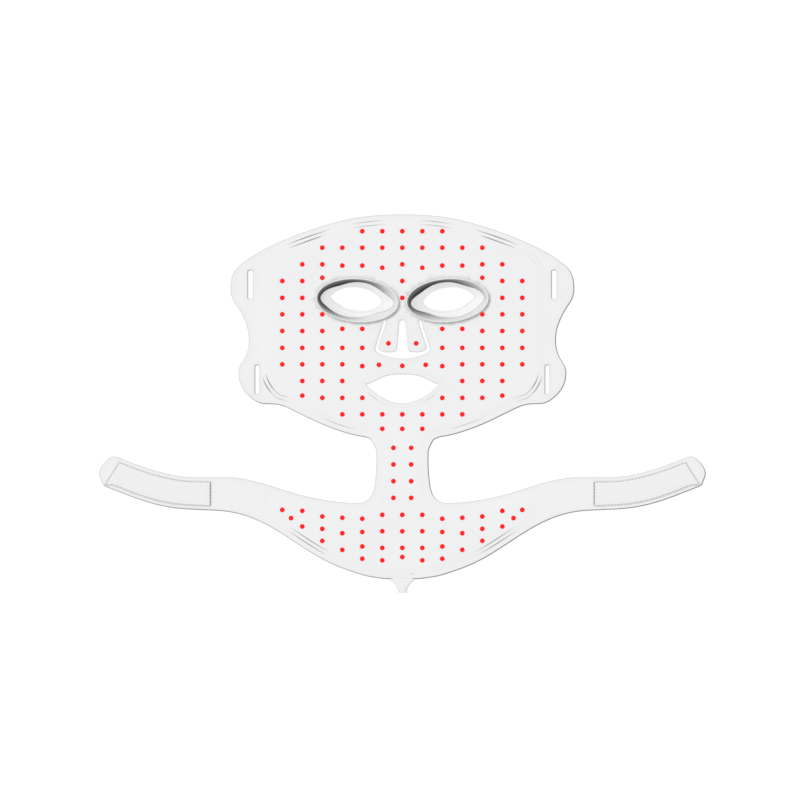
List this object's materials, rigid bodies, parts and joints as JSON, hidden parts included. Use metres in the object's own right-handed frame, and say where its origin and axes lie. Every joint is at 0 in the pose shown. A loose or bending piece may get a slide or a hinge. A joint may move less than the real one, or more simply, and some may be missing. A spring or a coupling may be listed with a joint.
{
  "type": "led face mask",
  "caption": "Soft silicone light-therapy face mask with a neck collar: LED field, eye gaskets, nose flaps, strap slots and hook-and-loop tabs, folding at cheeks, chin and neck.",
  "frame": {"origin": "middle of the footprint on the surface it is laid on", "axes": "+X across the face to the right of the picture, +Y toward the forehead, +Z out of the skin side"},
  "size_m": [0.4858, 0.3028, 0.0115],
  "materials": {
    "sheet_silicone": "matte translucent white silicone",
    "gasket_silicone": "satin white silicone, softer",
    "flex_circuit": "white solder mask",
    "led_window": "clear window lit red from below",
    "hook_and_loop": "white woven hook-and-loop tape"
  },
  "bodies": {
    "face": {"face_back_cover": "sheet_silicone", "face_led_board": "flex_circuit", "face_led_windows": "led_window", "face_skin_liner": "sheet_silicone", "left_eye_gasket": "gasket_silicone", "right_eye_gasket": "gasket_silicone", "chin_fold_web": "sheet_silicone", "left_cheek_fold_web": "sheet_silicone", "right_cheek_fold_web": "sheet_silicone", "left_nose_fold_web": "sheet_silicone", "right_nose_fold_web": "sheet_silicone"},
    "bridge": {"bridge_back_cover": "sheet_silicone", "bridge_skin_liner": "sheet_silicone", "bridge_led_board": "flex_circuit", "bridge_led_windows": "led_window", "throat_fold_web": "sheet_silicone"},
    "collar": {"collar_back_cover": "sheet_silicone", "collar_skin_liner": "sheet_silicone", "collar_led_board": "flex_circuit", "collar_led_windows": "led_window", "cable_boot": "sheet_silicone", "left_collar_fold_web": "sheet_silicone", "right_collar_fold_web": "sheet_silicone"},
    "left_cheek": {"left_cheek_back_cover": "sheet_silicone", "left_cheek_skin_liner": "sheet_silicone", "left_cheek_led_board": "flex_circuit", "left_cheek_led_windows": "led_window"},
    "left_nose_flap": {"left_nose_flap": "sheet_silicone", "left_nose_led_board": "flex_circuit", "left_nose_led_window": "led_window"},
    "left_collar_side": {"left_collar_back_cover": "sheet_silicone", "left_collar_skin_liner": "sheet_silicone", "left_collar_led_board": "flex_circuit", "left_collar_led_windows": "led_window", "left_arm_fold_web": "sheet_silicone"},
    "left_arm": {"left_arm": "sheet_silicone", "left_tab_fold_web": "sheet_silicone"},
    "left_tab": {"left_tab": "sheet_silicone", "left_hook_and_loop_patch": "hook_and_loop"},
    "right_cheek": {"right_cheek_back_cover": "sheet_silicone", "right_cheek_skin_liner": "sheet_silicone", "right_cheek_led_board": "flex_circuit", "right_cheek_led_windows": "led_window"},
    "right_nose_flap": {"right_nose_flap": "sheet_silicone", "right_nose_led_board": "flex_circuit", "right_nose_led_window": "led_window"},
    "right_collar_side": {"right_collar_back_cover": "sheet_silicone", "right_collar_skin_liner": "sheet_silicone", "right_collar_led_board": "flex_circuit", "right_collar_led_windows": "led_window", "right_arm_fold_web": "sheet_silicone"},
    "right_arm": {"right_arm": "sheet_silicone", "right_tab_fold_web": "sheet_silicone"},
    "right_tab": {"right_tab": "sheet_silicone", "right_hook_and_loop_patch": "hook_and_loop"}
  },
  "joints": [
    {"name": "left_cheek_fold", "type": "hinge", "parent": "face", "child": "left_cheek", "pos_m": [-0.088, 0.06, 0.0025], "axis": [0, 1, 0], "range_deg": [0, 60], "stiffness_Nm_per_rad": 0.15, "deforming": ["left_cheek_fold_web", "left_cheek_led_board"]},
    {"name": "left_nose_fold", "type": "hinge", "parent": "face", "child": "left_nose_flap", "pos_m": [-0.008, 0.0637, 0.0025], "axis": [-1, 0, 0], "range_deg": [0, 45], "stiffness_Nm_per_rad": 0.02, "deforming": ["left_nose_fold_web", "left_nose_led_board"]},
    {"name": "left_collar_fold", "type": "hinge", "parent": "collar", "child": "left_collar_side", "pos_m": [-0.056, -0.103, 0.0025], "axis": [0, 1, 0], "range_deg": [0, 40], "stiffness_Nm_per_rad": 0.07, "deforming": ["left_collar_fold_web", "left_collar_led_board"]},
    {"name": "left_arm_fold", "type": "hinge", "parent": "left_collar_side", "child": "left_arm", "pos_m": [-0.111, -0.08, 0.0023], "axis": [0, 1, 0], "range_deg": [0, 45], "stiffness_Nm_per_rad": 0.02, "deforming": ["left_arm_fold_web"]},
    {"name": "left_tab_fold", "type": "hinge", "parent": "left_arm", "child": "left_tab", "pos_m": [-0.145, -0.072, 0.0023], "axis": [0, 1, 0], "range_deg": [0, 70], "stiffness_Nm_per_rad": 0.015, "deforming": ["left_tab_fold_web"]},
    {"name": "right_cheek_fold", "type": "hinge", "parent": "face", "child": "right_cheek", "pos_m": [0.088, 0.06, 0.0025], "axis": [0, -1, 0], "range_deg": [0, 60], "stiffness_Nm_per_rad": 0.15, "deforming": ["right_cheek_fold_web", "right_cheek_led_board"]},
    {"name": "right_nose_fold", "type": "hinge", "parent": "face", "child": "right_nose_flap", "pos_m": [0.008, 0.0637, 0.0025], "axis": [-1, 0, 0], "range_deg": [0, 45], "stiffness_Nm_per_rad": 0.02, "deforming": ["right_nose_fold_web", "right_nose_led_board"]},
    {"name": "right_collar_fold", "type": "hinge", "parent": "collar", "child": "right_collar_side", "pos_m": [0.056, -0.103, 0.0025], "axis": [0, -1, 0], "range_deg": [0, 40], "stiffness_Nm_per_rad": 0.07, "deforming": ["right_collar_fold_web", "right_collar_led_board"]},
    {"name": "right_arm_fold", "type": "hinge", "parent": "right_collar_side", "child": "right_arm", "pos_m": [0.111, -0.08, 0.0023], "axis": [0, -1, 0], "range_deg": [0, 45], "stiffness_Nm_per_rad": 0.02, "deforming": ["right_arm_fold_web"]},
    {"name": "right_tab_fold", "type": "hinge", "parent": "right_arm", "child": "right_tab", "pos_m": [0.145, -0.072, 0.0023], "axis": [0, -1, 0], "range_deg": [0, 70], "stiffness_Nm_per_rad": 0.015, "deforming": ["right_tab_fold_web"]},
    {"name": "chin_fold", "type": "hinge", "parent": "face", "child": "bridge", "pos_m": [0, -0.04225, 0.0025], "axis": [-1, 0, 0], "range_deg": [0, 60], "stiffness_Nm_per_rad": 0.06, "deforming": ["chin_fold_web", "bridge_led_board"]},
    {"name": "throat_fold", "type": "hinge", "parent": "bridge", "child": "collar", "pos_m": [0, -0.06895, 0.0025], "axis": [1, 0, 0], "range_deg": [0, 36], "stiffness_Nm_per_rad": 0.06, "deforming": ["throat_fold_web", "collar_led_board"]}
  ],
  "couplings": [
    {"joint": "throat_fold", "follows": "chin_fold", "ratio": 0.6}
  ]
}
